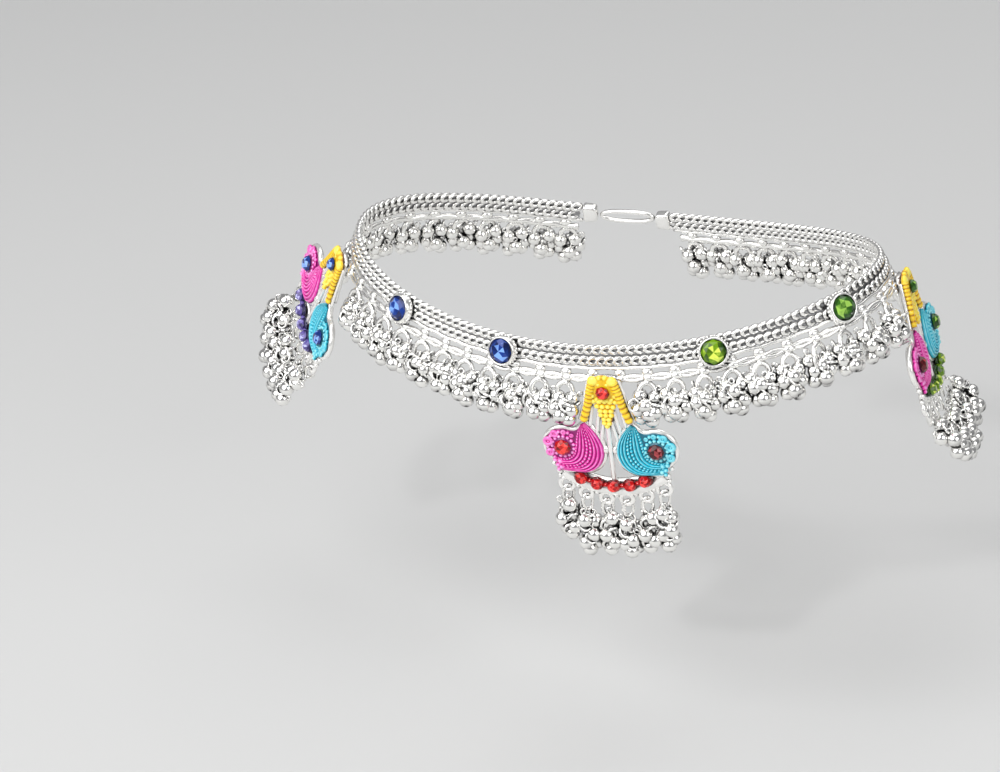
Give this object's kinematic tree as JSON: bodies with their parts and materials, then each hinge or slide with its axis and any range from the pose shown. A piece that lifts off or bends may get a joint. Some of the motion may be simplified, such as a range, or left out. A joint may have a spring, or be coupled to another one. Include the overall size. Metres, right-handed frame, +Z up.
{
  "type": "payal anklet",
  "caption": "Silver anklet: a woven band with a pierced gallery, a fringe of small bells, set stones and enamelled peacock pendants with bell drops.",
  "frame": {"origin": "middle of the loop, at the middle of the band's height, where the ankle passes through", "axes": "+Z up along the ankle, +X towards the heel end of the loop (the longest extent), -Y towards the front pendant"},
  "size_m": [0.1447, 0.0686, 0.0507],
  "materials": {
    "silver": "polished silver with dark recesses",
    "yellow_enamel": "glossy yellow enamel",
    "pink_enamel": "glossy pink enamel",
    "turquoise_enamel": "glossy turquoise enamel",
    "red_stone": "cut red glass stone",
    "dark_red_stone": "cut dark red glass stone",
    "blue_stone": "cut blue glass stone",
    "violet_stone": "cut violet glass stone",
    "green_stone": "cut green glass stone"
  },
  "bodies": {
    "root": {"band_chain": "silver", "clasp": "silver", "end_cap_right": "silver", "end_cap_left": "silver", "fringe_front_left": "silver", "fringe_front_right": "silver", "fringe_back_right": "silver", "fringe_back_left": "silver", "collet_far_left": "silver", "stone_far_left": "blue_stone", "collet_near_left": "silver", "stone_near_left": "blue_stone", "collet_near_right": "silver", "stone_near_right": "green_stone", "collet_far_right": "silver", "stone_far_right": "green_stone", "front_plate": "silver", "front_crown": "yellow_enamel", "front_peacock_pink": "pink_enamel", "front_peacock_turquoise": "turquoise_enamel", "front_crown_stone": "red_stone", "front_pink_stone": "red_stone", "front_turquoise_stone": "red_stone", "front_swag": "red_stone", "front_drop_1": "silver", "front_drop_2": "silver", "front_drop_3": "silver", "front_drop_4": "silver", "front_drop_5": "silver", "front_drop_6": "silver", "left_plate": "silver", "left_crown": "yellow_enamel", "left_peacock_pink": "pink_enamel", "left_peacock_turquoise": "turquoise_enamel", "left_crown_stone": "blue_stone", "left_pink_stone": "blue_stone", "left_turquoise_stone": "blue_stone", "left_swag": "violet_stone", "left_drop_1": "silver", "left_drop_2": "silver", "left_drop_3": "silver", "left_drop_4": "silver", "left_drop_5": "silver", "left_drop_6": "silver", "right_plate": "silver", "right_crown": "yellow_enamel", "right_peacock_pink": "pink_enamel", "right_peacock_turquoise": "turquoise_enamel", "right_crown_stone": "green_stone", "right_pink_stone": "dark_red_stone", "right_turquoise_stone": "green_stone", "right_swag": "green_stone", "right_drop_1": "silver", "right_drop_2": "silver", "right_drop_3": "silver", "right_drop_4": "silver", "right_drop_5": "silver", "right_drop_6": "silver"}
  },
  "joints": []
}
